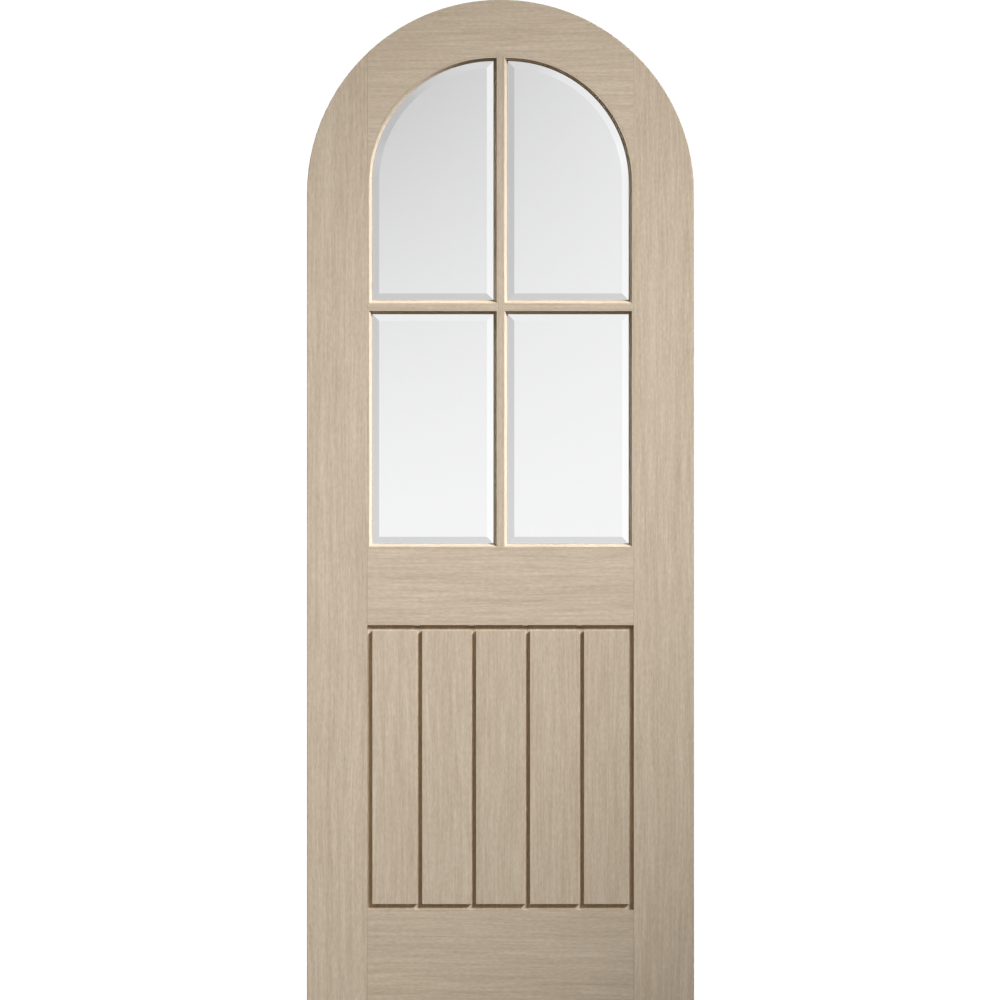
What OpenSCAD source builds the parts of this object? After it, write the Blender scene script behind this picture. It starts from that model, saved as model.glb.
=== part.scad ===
// Arched door leaf: stile and rail frame with a semicircular head, four bevelled
// lights held by mitred beads on both faces, and a flush tongued board panel below.
// X runs along the width, Z up, Y through the thickness. The front face looks along -Y.
// The origin is the middle of the bottom edge, on the leaf's mid-plane.

/* [Leaf] */
// Width of the leaf
leaf_w = 762; // [610:1:920]
// Height of the leaf at the crown of its arch
leaf_h = 1981; // [1640:1:2400]
// Thickness of the leaf
leaf_t = 35; // [35:1:54]
// Arris taken off the leaf's long edges and arch
leaf_arris = 1; // [0.5:0.25:2]

/* [Frame] */
// Width of each stile
stile_w = 119; // [95:1:150]
// Height of the bottom rail
bottom_rail_h = 190; // [150:1:230]
// Height of the lock rail's underside above the floor
lock_rail_z = 750; // [600:1:900]
// Height of the lock rail
lock_rail_h = 151; // [120:1:190]
// Width of the head rail at the crown
head_rail_w = 111; // [90:1:150]
// Thickness of the head rail's thin lower ends
horn_t = 1.5; // [1:0.5:4]

/* [Lights] */
// Width of the glazing bars' core
bar_w = 8; // [6:0.5:16]
// Drop from the arch's springing to the middle of the horizontal bar
bar_drop = 246; // [120:1:300]
// Length of the stub tenons on the bars
tenon_l = 10; // [6:1:15]
// Thickness of the stub tenons
tenon_t = 16; // [8:1:20]
// Fit of the tenons all round
tenon_fit = 0.1; // [0.05:0.05:0.3]
// Room beyond the end of each tenon
tenon_room = 1; // [0.5:0.5:2]

/* [Beads] */
// Width of a bead, from the wood it is planted on to the sight line
bead_w = 10; // [8:0.5:14]
// Flat left on the bead's face before its moulding
bead_flat = 3.5; // [0.5:0.5:4]
// Ledge left between the moulding and the sight line
bead_ledge = 1.5; // [0.5:0.5:3]
// Fall of the moulding from the face to the ledge
bead_fall = 9; // [5:0.5:11]
// Angle by which the moulding bulges from a straight chamfer
bead_bulge = 16; // [5:1:26]
// Distance of the bead's back from the leaf's mid-plane
bead_seat = 4; // [3.5:0.5:6]
// Diameter of the panel pins in the back beads
pin_d = 1.4; // [1:0.1:1.8]
// Depth that a pin enters the wood behind the bead
pin_bite = 3; // [1:0.5:3]
// Height of the pins above the beads' backs
pin_level = 2.5; // [1.5:0.5:3]
// Distance of the end pins from the ends of a bead
pin_end = 45; // [25:5:60]
// Largest distance between pins along a bead
pin_pitch = 210; // [120:10:300]

/* [Glass] */
// Thickness of the glass
glass_t = 6; // [5:0.5:6]
// Gap round the glass in its opening
glass_gap = 3; // [2:0.5:5]
// Width of the bevel on the glass's front
bevel_w = 20; // [15:1:30]
// Depth that the bevel takes off the edge
bevel_d = 3; // [2:0.5:4]
// Thickness of the glazing tape behind the glass
tape_t = 2; // [1:0.5:3]
// Distance that the seals stop short of the sight line
seal_recess = 1; // [0.5:0.5:2]
// Length of a setting block
block_l = 25; // [15:5:50]
// Fit of the setting blocks between the beads, on each face
block_fit = 0.3; // [0.2:0.1:1]

/* [Boarded panel] */
// Number of boards
board_count = 5; // [3:1:7]
// Width taken off each outer board against its stile
edge_trim = 3.5; // [0:0.5:8]
// Distance of the boards' faces below the frame's faces
board_set = 0.5; // [0:0.1:1.5]
// Width of the channels between boards
groove_w = 9.5; // [6:0.5:14]
// Width of the channels along the stiles
side_channel_w = 9.5; // [6:0.5:14]
// Width of the channels along the rails
end_channel_w = 11; // [6:0.5:16]
// Depth of the channels below the boards' faces
channel_d = 5; // [3:0.5:7]
// Gap left for the boards to move in, at each joint
board_gap = 0.3; // [0.2:0.1:1]
// Thickness of the tongues
tongue_t = 8; // [6:0.5:10]
// Length of the tongues between boards
tongue_l = 8; // [5:0.5:9]
// Length of the tongues that enter the frame
frame_tongue_l = 10; // [6:0.5:14]
// Fit of the tongues on each side
tongue_fit = 0.1; // [0.05:0.05:0.3]
// Room beyond the end of each tongue
tongue_room = 1; // [0.5:0.5:2]

/* [Dowels] */
// Diameter of the dowels in the head rail
head_dowel_d = 10; // [8:1:12]
// Length of the dowels in the head rail
head_dowel_l = 80; // [50:5:80]
// Drop of the upper dowel from the top of the head joint
head_dowel_drop = 64; // [55:1:80]
// Distance between the two head dowels
head_dowel_pitch = 40; // [25:1:45]
// Diameter of the dowels in the lock and bottom rails
rail_dowel_d = 12; // [10:1:16]
// Length of the dowels in the lock and bottom rails
rail_dowel_l = 110; // [80:5:140]
// Distance of the end dowels from a rail's edges
dowel_margin = 34; // [25:1:45]
// Fit of the dowels all round
dowel_fit = 0.1; // [0.05:0.05:0.2]
// Room beyond each end of a dowel
dowel_room = 1.5; // [1:0.5:3]
// Chamfer on the dowels' ends
dowel_chamfer = 1; // [0.5:0.5:2]

/* [Hidden] */
$fn = 96;
over = 1;                                       // overshoot of cutting shapes
half_w = leaf_w / 2;                            // radius of the outer arch
half_t = leaf_t / 2;
outer_spring_z = leaf_h - half_w;
open_x = half_w - stile_w;                      // half the opening between the stiles
lock_top_z = lock_rail_z + lock_rail_h;
light_x = bar_w / 2;                            // a light's opening runs from here to open_x
light_w = open_x - light_x;
arch_x = light_x + bead_w;                      // centre of a light's quarter circle
arch_r = open_x - arch_x;                       // radius of the wood behind the arch bead
crown_z = leaf_h - head_rail_w;
spring_z = crown_z - arch_r;
bar_z = spring_z - bar_drop;
horn_z = spring_z + sqrt(arch_r * arch_r - (arch_r - horn_t) * (arch_r - horn_t));
joint_top_z = outer_spring_z + sqrt(half_w * half_w - open_x * open_x);
glass_back = bead_seat - tape_t;
glass_front = glass_back - glass_t;
bevel_foot = glass_front + bevel_d;             // front of the glass at its very edge

// The moulding is an arc from the flat's edge to the ledge's.
fall_z = half_t - bead_fall;
moulding_w = bead_w - bead_flat - bead_ledge;
arc_chord = norm([moulding_w, bead_fall]);
arc_r = arc_chord / (2 * sin(bead_bulge));
arc_back = arc_r * cos(bead_bulge);
arc_u = bead_flat + moulding_w / 2 - arc_back * bead_fall / arc_chord;
arc_v = (half_t + fall_z) / 2 - arc_back * moulding_w / arc_chord;

board_pitch = (2 * open_x + 2 * edge_trim) / board_count;
board_t = leaf_t - 2 * board_set;
floor_t = board_t - 2 * channel_d;

OAK = [0.77, 0.70, 0.61];
DARK_OAK = [0.72, 0.65, 0.55];
BEECH = [0.86, 0.74, 0.56];
GLASS = [0.86, 0.90, 0.90, 0.5];
SEAL = [0.35, 0.33, 0.30];
STEEL = [0.70, 0.70, 0.72];

BLOCK_SHARES = [0.25, 0.75];                    // along the pane from its inner edge
ARCH_PIN_TURNS = [15, 45, 75];                  // degrees round an arch bead

FACES = ["front", "back"];
HANDS = ["left", "right"];
LEVELS = ["upper", "lower"];
function sides(level) = ["bottom", "outer", level == "upper" ? "arch" : "top", "inner"];
function light_name(level, hand) = str(level, "_", hand);
function bead_name(face, level, hand, side) =
    str(face, "_bead_", light_name(level, hand), "_", side);

// ---- Helpers ----

// A shape drawn in X and Z, given thickness from one Y to another
module slab(from_y, to_y) {
    translate([0, to_y, 0])
        rotate([90, 0, 0])
            linear_extrude(to_y - from_y)
                children();
}

// A shape drawn in Y and Z, run along X
module run_x(from_x, to_x) {
    translate([from_x, 0, 0])
        rotate([90, 0, 90])
            linear_extrude(to_x - from_x)
                children();
}

// A box given by its lowest and highest corners
module block(low, high) {
    translate(low)
        cube(high - low);
}

// What is drawn for the right-hand light, moved to the left-hand one
module handed(hand) {
    mirror([hand == "left" ? 1 : 0, 0, 0])
        children();
}

// What is drawn for the front, moved to the back
module faced(face) {
    mirror([0, face == "back" ? 1 : 0, 0])
        children();
}

// ---- Outline of the leaf ----

module leaf_blank() {
    linear_extrude(outer_spring_z)
        polygon([
            [-half_w + leaf_arris, -half_t],
            [half_w - leaf_arris, -half_t],
            [half_w, -half_t + leaf_arris],
            [half_w, half_t - leaf_arris],
            [half_w - leaf_arris, half_t],
            [-half_w + leaf_arris, half_t],
            [-half_w, half_t - leaf_arris],
            [-half_w, -half_t + leaf_arris],
        ]);
    translate([0, 0, outer_spring_z])
        rotate([90, 0, 0])
            rotate_extrude(angle = 180)
                polygon([
                    [0, -half_t],
                    [half_w - leaf_arris, -half_t],
                    [half_w, -half_t + leaf_arris],
                    [half_w, half_t - leaf_arris],
                    [half_w - leaf_arris, half_t],
                    [0, half_t],
                ]);
}

// The opening that the stiles and head rail leave, drawn in X and Z
module frame_opening() {
    translate([-open_x, -over])
        square([2 * open_x, spring_z + over]);
    for (side = [-1, 1])
        translate([side * arch_x, spring_z])
            circle(arch_r);
    translate([-arch_x, spring_z])
        square([2 * arch_x, arch_r]);
}

// ---- Dowels and tenons ----

// Heights of the dowels at each joint
head_dowel_zs = [joint_top_z - head_dowel_drop, joint_top_z - head_dowel_drop - head_dowel_pitch];
lock_dowel_zs = [lock_rail_z + dowel_margin, lock_rail_z + lock_rail_h / 2, lock_top_z - dowel_margin];
bottom_dowel_zs = [dowel_margin, bottom_rail_h / 2, bottom_rail_h - dowel_margin];

module dowel(d, l) {
    rotate([0, 90, 0])
        rotate_extrude()
            polygon([
                [0, -l / 2],
                [d / 2 - dowel_chamfer, -l / 2],
                [d / 2, -l / 2 + dowel_chamfer],
                [d / 2, l / 2 - dowel_chamfer],
                [d / 2 - dowel_chamfer, l / 2],
                [0, l / 2],
            ]);
}

module dowels(zs, d, l) {
    for (z = zs, side = [-1, 1])
        translate([side * open_x, 0, z])
            dowel(d, l);
}

module dowel_holes(zs, d, l) {
    for (z = zs, side = [-1, 1])
        translate([side * open_x, 0, z])
            rotate([0, 90, 0])
                cylinder(r = d / 2 + dowel_fit, h = l + 2 * dowel_room, center = true);
}

module all_dowel_holes() {
    dowel_holes(head_dowel_zs, head_dowel_d, head_dowel_l);
    dowel_holes(lock_dowel_zs, rail_dowel_d, rail_dowel_l);
    dowel_holes(bottom_dowel_zs, rail_dowel_d, rail_dowel_l);
}

// Both bars' tenons, or their mortises when a fit is given
module vertical_tenons(fit = 0) {
    x = bar_w / 2 + fit;
    y = tenon_t / 2 + fit;
    reach = tenon_l + (fit > 0 ? tenon_room : 0);
    block([-x, -y, lock_top_z - reach], [x, y, crown_z + reach]);
}

module horizontal_tenons(fit = 0) {
    y = tenon_t / 2 + fit;
    z = bar_w / 2 + fit;
    reach = tenon_l + (fit > 0 ? tenon_room : 0);
    block([-open_x - reach, -y, bar_z - z], [open_x + reach, y, bar_z + z]);
}

// Groove for the boards' tongues, all round the panel's opening
module panel_groove() {
    reach = frame_tongue_l + tongue_room;
    y = tongue_t / 2 + tongue_fit;
    block([-open_x - reach, -y, bottom_rail_h - reach], [open_x + reach, y, lock_rail_z + reach]);
}

// ---- Stiles and rails ----

module stile(side) {
    difference() {
        intersection() {
            leaf_blank();
            mirror([side < 0 ? 1 : 0, 0, 0])
                block([open_x - horn_t - over, -leaf_t, -over], [half_w + over, leaf_t, leaf_h]);
        }
        slab(-leaf_t, leaf_t)
            frame_opening();
        block([-open_x, -leaf_t, horn_z], [open_x, leaf_t, leaf_h + over]);
        panel_groove();
        horizontal_tenons(tenon_fit);
        all_dowel_holes();
        all_pins();
    }
}

module head_rail() {
    color(OAK)
        difference() {
            intersection() {
                leaf_blank();
                block([-open_x, -leaf_t, horn_z], [open_x, leaf_t, leaf_h + over]);
            }
            slab(-leaf_t, leaf_t)
                frame_opening();
            vertical_tenons(tenon_fit);
            all_dowel_holes();
            all_pins();
        }
}

module lock_rail() {
    color(OAK)
        difference() {
            block([-open_x, -half_t, lock_rail_z], [open_x, half_t, lock_top_z]);
            panel_groove();
            vertical_tenons(tenon_fit);
            all_dowel_holes();
            all_pins();
        }
}

module bottom_rail() {
    color(OAK)
        difference() {
            block([-open_x, -half_t, 0], [open_x, half_t, bottom_rail_h]);
            panel_groove();
            all_dowel_holes();
        }
}

// ---- Glazing bars, halved into each other where they cross ----

module vertical_glazing_bar() {
    x = bar_w / 2;
    color(OAK)
        difference() {
            union() {
                block([-x, -half_t, lock_top_z], [x, half_t, crown_z]);
                vertical_tenons();
            }
            block([-x - over, 0, bar_z - x], [x + over, leaf_t, bar_z + x]);
            all_pins();
        }
}

module horizontal_glazing_bar() {
    x = bar_w / 2;
    color(OAK)
        difference() {
            union() {
                block([-open_x, -half_t, bar_z - x], [open_x, half_t, bar_z + x]);
                horizontal_tenons();
            }
            block([-x, -leaf_t, bar_z - x - over], [x, 0, bar_z + x + over]);
            all_pins();
        }
}

// ---- Lights ----

// Lowest edge of a light's opening, and its highest
function light_z0(level) = level == "upper" ? bar_z + bar_w / 2 : lock_top_z;
function light_z1(level) = level == "upper" ? crown_z : bar_z - bar_w / 2;

// The right-hand light's outline, drawn in X and Z and set in from the wood all round
module light_shape(level, inset) {
    x = light_x + inset;
    w = light_w - 2 * inset;
    z = light_z0(level) + inset;
    if (level == "lower") {
        translate([x, z])
            square([w, light_z1(level) - inset - z]);
    } else {
        translate([x, z])
            square([w, spring_z - z]);
        translate([x, spring_z])
            square([arch_x - x, arch_r - inset]);
        translate([arch_x, spring_z])
            intersection() {
                circle(arch_r - inset);
                square(arch_r);
            }
    }
}

// Plate with a bevel along each straight edge and round the arch
module bevelled_glass(level) {
    x0 = light_x + glass_gap;
    x1 = open_x - glass_gap;
    z0 = light_z0(level) + glass_gap;
    z1 = light_z1(level) - glass_gap;
    r = arch_r - glass_gap;
    if (level == "lower")
        intersection() {
            translate([0, 0, z0])
                linear_extrude(z1 - z0)
                    polygon([
                        [x0, glass_back], [x0, bevel_foot], [x0 + bevel_w, glass_front],
                        [x1 - bevel_w, glass_front], [x1, bevel_foot], [x1, glass_back],
                    ]);
            run_x(x0, x1)
                polygon([
                    [glass_back, z0], [bevel_foot, z0], [glass_front, z0 + bevel_w],
                    [glass_front, z1 - bevel_w], [bevel_foot, z1], [glass_back, z1],
                ]);
        }
    else
        intersection() {
            union() {
                translate([0, 0, z0])
                    linear_extrude(spring_z - z0)
                        polygon([
                            [x0, glass_back], [x0, glass_front],
                            [x1 - bevel_w, glass_front], [x1, bevel_foot], [x1, glass_back],
                        ]);
                run_x(x0, arch_x)
                    polygon([
                        [glass_back, spring_z], [glass_front, spring_z],
                        [glass_front, z1 - bevel_w], [bevel_foot, z1], [glass_back, z1],
                    ]);
                translate([arch_x, 0, spring_z])
                    rotate([90, 0, 0])
                        rotate_extrude(angle = 90)
                            polygon([
                                [0, -glass_back], [r, -glass_back], [r, -bevel_foot],
                                [r - bevel_w, -glass_front], [0, -glass_front],
                            ]);
            }
            translate([0, 0, z0 - over])
                linear_extrude(z1 - z0 + 2 * over)
                    bevel_side(x0, x1);
            run_x(x0 - over, x1 + over)
                mirror([1, -1])
                    bevel_side(z0, z1);
        }
}

// One bevelled edge and all the glass beyond it, drawn across the edge
module bevel_side(edge, far) {
    slope = bevel_w / bevel_d;
    polygon([
        [edge, glass_back + over],
        [edge, bevel_foot],
        [edge + slope * (bevel_d + over), glass_front - over],
        [far + over, glass_front - over],
        [far + over, glass_back + over],
    ]);
}

module glass(level, hand) {
    color(GLASS)
        handed(hand)
            bevelled_glass(level);
}

// Tape behind the glass, and the bedding that fills the wedge over its bevel
module seal(level, hand) {
    color(SEAL)
        handed(hand) {
            slab(glass_back, bead_seat)
                seal_ring(level);
            difference() {
                slab(-bead_seat, bevel_foot)
                    seal_ring(level);
                bevelled_glass(level);
            }
        }
}

module seal_ring(level) {
    difference() {
        light_shape(level, glass_gap);
        light_shape(level, bead_w - seal_recess);
    }
}

// Two blocks under each pane
module glass_setting_blocks() {
    color(SEAL)
        for (level = LEVELS, hand = HANDS, share = BLOCK_SHARES)
            handed(hand)
                translate([light_x + share * light_w - block_l / 2, 0, light_z0(level)])
                    slab(-bead_seat + block_fit, bead_seat - block_fit)
                        square([block_l, glass_gap]);
}

// ---- Beads ----

// Section of a bead: X is the depth from the mid-plane, Y the width from the wood
module bead_section() {
    difference() {
        translate([-half_t, 0])
            square([half_t - bead_seat, bead_w]);
        difference() {
            translate([-half_t - over, bead_flat])
                square([bead_fall + over, bead_w]);
            translate([-arc_v, arc_u])
                circle(arc_r);
        }
    }
}

// A bead along X whose ends are set back at the sight line by their mitres
module straight_bead(length, start_mitre, end_mitre) {
    intersection() {
        run_x(0, length)
            bead_section();
        slab(-leaf_t, 0)
            polygon([
                [0, 0], [length, 0],
                [length - end_mitre, bead_w], [start_mitre, bead_w],
            ]);
    }
}

module arch_bead() {
    translate([arch_x, 0, spring_z])
        rotate([90, 0, 0])
            rotate_extrude(angle = 90)
                translate([arch_r, 0])
                    mirror([1, 1])
                        bead_section();
    translate([arch_x, 0, crown_z])
        rotate([0, 180, 0])
            straight_bead(bead_w, 0, bead_w);
}

// Length of a straight bead along the wood
function bead_length(level, side) =
    side == "bottom" || side == "top" ? light_w
    : level == "upper" && side == "outer" ? spring_z - light_z0(level)
    : light_z1(level) - light_z0(level);

// Puts what is drawn along X from the origin on its side of the right-hand light
module on_side(level, side) {
    x = side == "bottom" || side == "inner" ? light_x : open_x;
    z = side == "bottom" || side == "outer" ? light_z0(level) : light_z1(level);
    turn = side == "bottom" ? 0 : side == "outer" ? -90 : side == "top" ? 180 : 90;
    translate([x, 0, z])
        rotate([0, turn, 0])
            children();
}

// Pins lie across the bead. The front face's frame is used, so the back ones are mirrored.
module pin() {
    translate([0, -bead_seat - pin_level, -pin_bite])
        cylinder(d = pin_d, h = pin_bite + bead_w);
}

module side_pins(level, side) {
    if (side == "arch") {
        for (turn = ARCH_PIN_TURNS)
            translate([arch_x, 0, spring_z])
                rotate([0, -90 - turn, 0])
                    translate([0, 0, -arch_r])
                        pin();
    } else {
        length = bead_length(level, side);
        gaps = max(1, ceil((length - 2 * pin_end) / pin_pitch));
        for (i = [0:gaps])
            on_side(level, side)
                translate([pin_end + i * (length - 2 * pin_end) / gaps, 0, 0])
                    pin();
    }
}

module bead(face, level, hand, side) {
    mitre = bead_w;
    color(OAK)
        handed(hand)
            faced(face)
                difference() {
                    if (side == "arch")
                        arch_bead();
                    else
                        on_side(level, side)
                            straight_bead(
                                bead_length(level, side),
                                mitre,
                                level == "upper" && side == "outer" ? 0 : mitre
                            );
                    if (face == "back")
                        side_pins(level, side);
                }
}

module all_pins() {
    for (level = LEVELS, hand = HANDS, side = sides(level))
        handed(hand)
            faced("back")
                side_pins(level, side);
}

module bead_pins() {
    color(STEEL)
        all_pins();
}

// ---- Boarded panel ----

// Line between board i and the next, counted from 0 at the left stile
function board_line(i) =
    i == 0 ? -open_x
    : i == board_count ? open_x
    : (i - board_count / 2) * board_pitch;

module board(i) {
    is_first = i == 1;
    is_last = i == board_count;
    left = board_line(i - 1) + (is_first ? board_gap : board_gap / 2);
    right = board_line(i) - (is_last ? board_gap : board_gap / 2);
    face_left = board_line(i - 1) + (is_first ? side_channel_w : groove_w / 2);
    face_right = board_line(i) - (is_last ? side_channel_w : groove_w / 2);
    low = bottom_rail_h + board_gap;
    high = lock_rail_z - board_gap;
    tongue_left = left - (is_first ? frame_tongue_l : tongue_l);
    tongue_right = is_last ? right + frame_tongue_l : right;
    groove_y = tongue_t / 2 + tongue_fit;
    color(DARK_OAK)
        difference() {
            union() {
                block(
                    [face_left, -board_t / 2, bottom_rail_h + end_channel_w],
                    [face_right, board_t / 2, lock_rail_z - end_channel_w]
                );
                block([left, -floor_t / 2, low], [right, floor_t / 2, high]);
                block(
                    [left, -tongue_t / 2, low - frame_tongue_l],
                    [right, tongue_t / 2, high + frame_tongue_l]
                );
                block([tongue_left, -tongue_t / 2, low], [tongue_right, tongue_t / 2, high]);
            }
            if (!is_last)
                block(
                    [right - tongue_l - tongue_room, -groove_y, 0],
                    [right + over, groove_y, leaf_h]
                );
        }
}

// ---- Nodes ----

module left_stile() {
    color(OAK)
        stile(-1);
}

module right_stile() {
    color(OAK)
        stile(1);
}

module head_rail_dowels() {
    color(BEECH)
        dowels(head_dowel_zs, head_dowel_d, head_dowel_l);
}

module lock_rail_dowels() {
    color(BEECH)
        dowels(lock_dowel_zs, rail_dowel_d, rail_dowel_l);
}

module bottom_rail_dowels() {
    color(BEECH)
        dowels(bottom_dowel_zs, rail_dowel_d, rail_dowel_l);
}

left_stile();
right_stile();
head_rail();
lock_rail();
bottom_rail();
vertical_glazing_bar();
horizontal_glazing_bar();
for (i = [1:board_count])
    board(i);
for (level = LEVELS, hand = HANDS)
    glass(level, hand);
for (level = LEVELS, hand = HANDS)
    seal(level, hand);
for (face = FACES, level = LEVELS, hand = HANDS, side = sides(level))
    bead(face, level, hand, side);
head_rail_dowels();
lock_rail_dowels();
bottom_rail_dowels();
bead_pins();
glass_setting_blocks();
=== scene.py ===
# %% [markdown]
# # An arched oak door leaf
#
# This file finishes a door leaf whose pieces already exist as CAD solids. The solids are right in size and
# place, but they are bare: hard edged, one flat colour, loose triangles. Here each timber gets eased edges
# and oak that runs the way a joiner lays it, the glazing beads are swept along their lights, the glass gets
# a polished bevel, and the whole leaf is lit as in a studio.
#
# Everything is in metres. X runs across the leaf, Z up, Y through it, and the front face looks along -Y.

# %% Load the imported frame
import bpy
import bmesh
import math
import random
from functools import partial
from mathutils import Matrix, Vector


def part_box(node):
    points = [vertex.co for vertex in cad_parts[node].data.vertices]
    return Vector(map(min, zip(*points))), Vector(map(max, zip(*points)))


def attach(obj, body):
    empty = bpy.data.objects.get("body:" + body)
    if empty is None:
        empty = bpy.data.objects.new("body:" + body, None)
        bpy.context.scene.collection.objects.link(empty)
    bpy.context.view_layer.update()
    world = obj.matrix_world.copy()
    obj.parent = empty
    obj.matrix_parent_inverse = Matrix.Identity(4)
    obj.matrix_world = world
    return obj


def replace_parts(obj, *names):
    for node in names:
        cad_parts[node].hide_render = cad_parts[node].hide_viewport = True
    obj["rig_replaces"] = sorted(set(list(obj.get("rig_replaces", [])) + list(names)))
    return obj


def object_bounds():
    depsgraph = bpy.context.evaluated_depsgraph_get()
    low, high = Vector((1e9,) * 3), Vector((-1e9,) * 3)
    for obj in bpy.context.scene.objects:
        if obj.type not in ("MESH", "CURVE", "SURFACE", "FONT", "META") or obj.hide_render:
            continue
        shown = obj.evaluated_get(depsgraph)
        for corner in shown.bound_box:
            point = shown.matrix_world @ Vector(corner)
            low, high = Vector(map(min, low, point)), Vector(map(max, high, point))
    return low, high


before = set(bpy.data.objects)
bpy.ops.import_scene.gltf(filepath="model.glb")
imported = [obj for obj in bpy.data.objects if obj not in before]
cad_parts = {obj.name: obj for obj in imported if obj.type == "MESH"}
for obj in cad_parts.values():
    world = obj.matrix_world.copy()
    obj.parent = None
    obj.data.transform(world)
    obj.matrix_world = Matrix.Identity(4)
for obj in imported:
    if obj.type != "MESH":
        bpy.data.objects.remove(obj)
cad_low, cad_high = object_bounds()
print("leaf", [round(high - low, 4) for low, high in zip(cad_low, cad_high)], "m")

# %% [markdown]
# ## Names and a few facts of the leaf
#
# Four lights are named by level and hand, and each has a bead on its four sides, on both faces. Writing the
# names with loops means that nothing is forgotten when a finish is given out later.

# %% Names
LEVELS = ("upper", "lower")
HANDS = ("left", "right")
FACES = ("front", "back")
LIGHTS = [f"{level}_{hand}" for level in LEVELS for hand in HANDS]


def sides(level):
    """The four sides of a light: the upper ones have an arch instead of a straight top."""
    return ("bottom", "outer", "arch" if level == "upper" else "top", "inner")


print(len(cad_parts), "CAD nodes,", len(LIGHTS), "lights")

# %% [markdown]
# ## Small helpers for node trees
#
# Materials and Geometry Nodes are both graphs, and a graph written line by line soon hides what it does.
# Two helpers keep it readable: one adds a node and fills its sockets, the other writes one sum. A socket
# takes either a plain value or another node's output, so `feed` looks at which it was given.

# %% Node helpers
def feed(tree, socket, value):
    """Links an output to the socket, or sets the socket's own value."""
    if isinstance(value, bpy.types.NodeSocket):
        tree.links.new(value, socket)
    else:
        socket.default_value = value


def add(tree, kind, inputs=None, **settings):
    """Adds a node, makes its settings, and feeds the named or numbered inputs."""
    node = tree.nodes.new(kind)
    for name, value in settings.items():
        setattr(node, name, value)
    for key, value in (inputs or {}).items():
        feed(tree, node.inputs[key], value)
    return node


def calc(tree, operation, *values):
    """One sum on numbers, as the output of a Math node."""
    node = add(tree, "ShaderNodeMath", operation=operation)
    for socket, value in zip(node.inputs, values):
        feed(tree, socket, value)
    return node.outputs[0]


def between(tree, share, first, second):
    """A number part of the way from the first to the second."""
    return calc(tree, "MULTIPLY_ADD", share, calc(tree, "SUBTRACT", second, first), first)


def scaled(tree, vector, scale):
    """A vector multiplied axis by axis."""
    node = add(tree, "ShaderNodeVectorMath", {0: vector, 1: scale}, operation="MULTIPLY")
    return node.outputs[0]


def stretch(tree, factor, low, high, to_low=0.0, to_high=1.0):
    """Maps low..high of a number to to_low..to_high, and holds it there."""
    node = add(tree, "ShaderNodeMapRange",
               {"Value": factor, "From Min": low, "From Max": high, "To Min": to_low, "To Max": to_high})
    return node.outputs[0]


def noise(tree, vector, scale=1.0, detail=2.0, roughness=0.5):
    """A noise value from 0 to 1."""
    node = add(tree, "ShaderNodeTexNoise",
               {"Vector": vector, "Scale": scale, "Detail": detail, "Roughness": roughness})
    return node.outputs[0]

# %% [markdown]
# A material also needs colours. These helpers make a ramp from one number to a colour, mix two colours,
# press a fine relief into a surface, and start a new material.

# %% Material helpers
def rgb(*colour):
    """A colour as the four numbers that a socket wants."""
    return (*colour, 1.0)


def ramp(tree, factor, *stops):
    """A colour ramp: each stop is (position, colour)."""
    node = add(tree, "ShaderNodeValToRGB", {"Fac": factor})
    points = node.color_ramp.elements
    while len(points) < len(stops):
        points.new(0.5)
    for point, (position, colour) in zip(points, stops):
        point.position = position
        point.color = rgb(*colour)
    return node.outputs["Color"]


def blend_colours(tree, factor, first, second, blend_type="MIX"):
    """Mixes two colours."""
    node = add(tree, "ShaderNodeMix", {0: factor, 6: first, 7: second},
               data_type="RGBA", blend_type=blend_type)
    return node.outputs[2]


def emboss(tree, shader, height, strength, distance):
    """Gives the surface a fine relief."""
    bump = add(tree, "ShaderNodeBump", {"Strength": strength, "Distance": distance, "Height": height})
    feed(tree, shader.inputs["Normal"], bump.outputs[0])


def new_material(name):
    """An empty node material: returns the material, its tree and its shader."""
    material = bpy.data.materials.new(name)
    material.use_nodes = True
    tree = material.node_tree
    return material, tree, tree.nodes["Principled BSDF"]


def own_place(tree):
    """Where a point lies in its own object, in metres."""
    return add(tree, "ShaderNodeTexCoord").outputs["Object"]

# %% [markdown]
# ## The oak
#
# The leaf is pale, limed oak under a matt lacquer: long soft streaks, fine darker fibres between them, and
# open pores that the lime has half filled. A flat picture of grain would look glued on at every corner, so
# the grain is a solid pattern, and each piece carries its own *board coordinates*: how far a point lies
# across the board, along it and into it. They are stored on the mesh as the attribute `board`. The same
# material then runs upright in a stile, level in a rail and round the curve in an arched bead, and an end
# that is cut across the grain shows end grain by itself.
#
# Stretching a noise about 30 times along the board turns its blobs into streaks. A slow noise first pushes
# the streaks sideways, which gives the lazy bends of a real board. A second attribute, `tone`, makes one
# board a little lighter or darker than the next, and also carries the painted shade of the eased arrises.

# %% Figure of the oak
BUMPS = {                                      # a metre: across, along and into the board
    "sway": (5.0, 1.3, 5.0),
    "broad": (70, 2.0, 70),
    "streak": (250, 9.0, 250),
    "fibre": (320, 90, 320),
    "pore": (1700, 75, 1700),
    "fleck": (330, 22, 120),
    "hue": (9, 2, 9),
}
SWAY_REACH = 0.028                             # from one side of a lazy bend to the other
KNOTS = ((0.160, 0.876, 0.030), (0.156, 0.142, 0.026))      # X, Z and reach of two pin knots
KNOT_STRETCH = (0.55, 0, 1.6)                  # a swirl is longer along its rail than across it
KNOT_PUSH = 0.006                              # how far a knot pushes the grain aside


def figure(tree, coordinates, name, detail, roughness=0.5):
    """One of the oak's figures as a noise from 0 to 1."""
    return noise(tree, scaled(tree, coordinates, BUMPS[name]), detail=detail, roughness=roughness)


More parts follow.
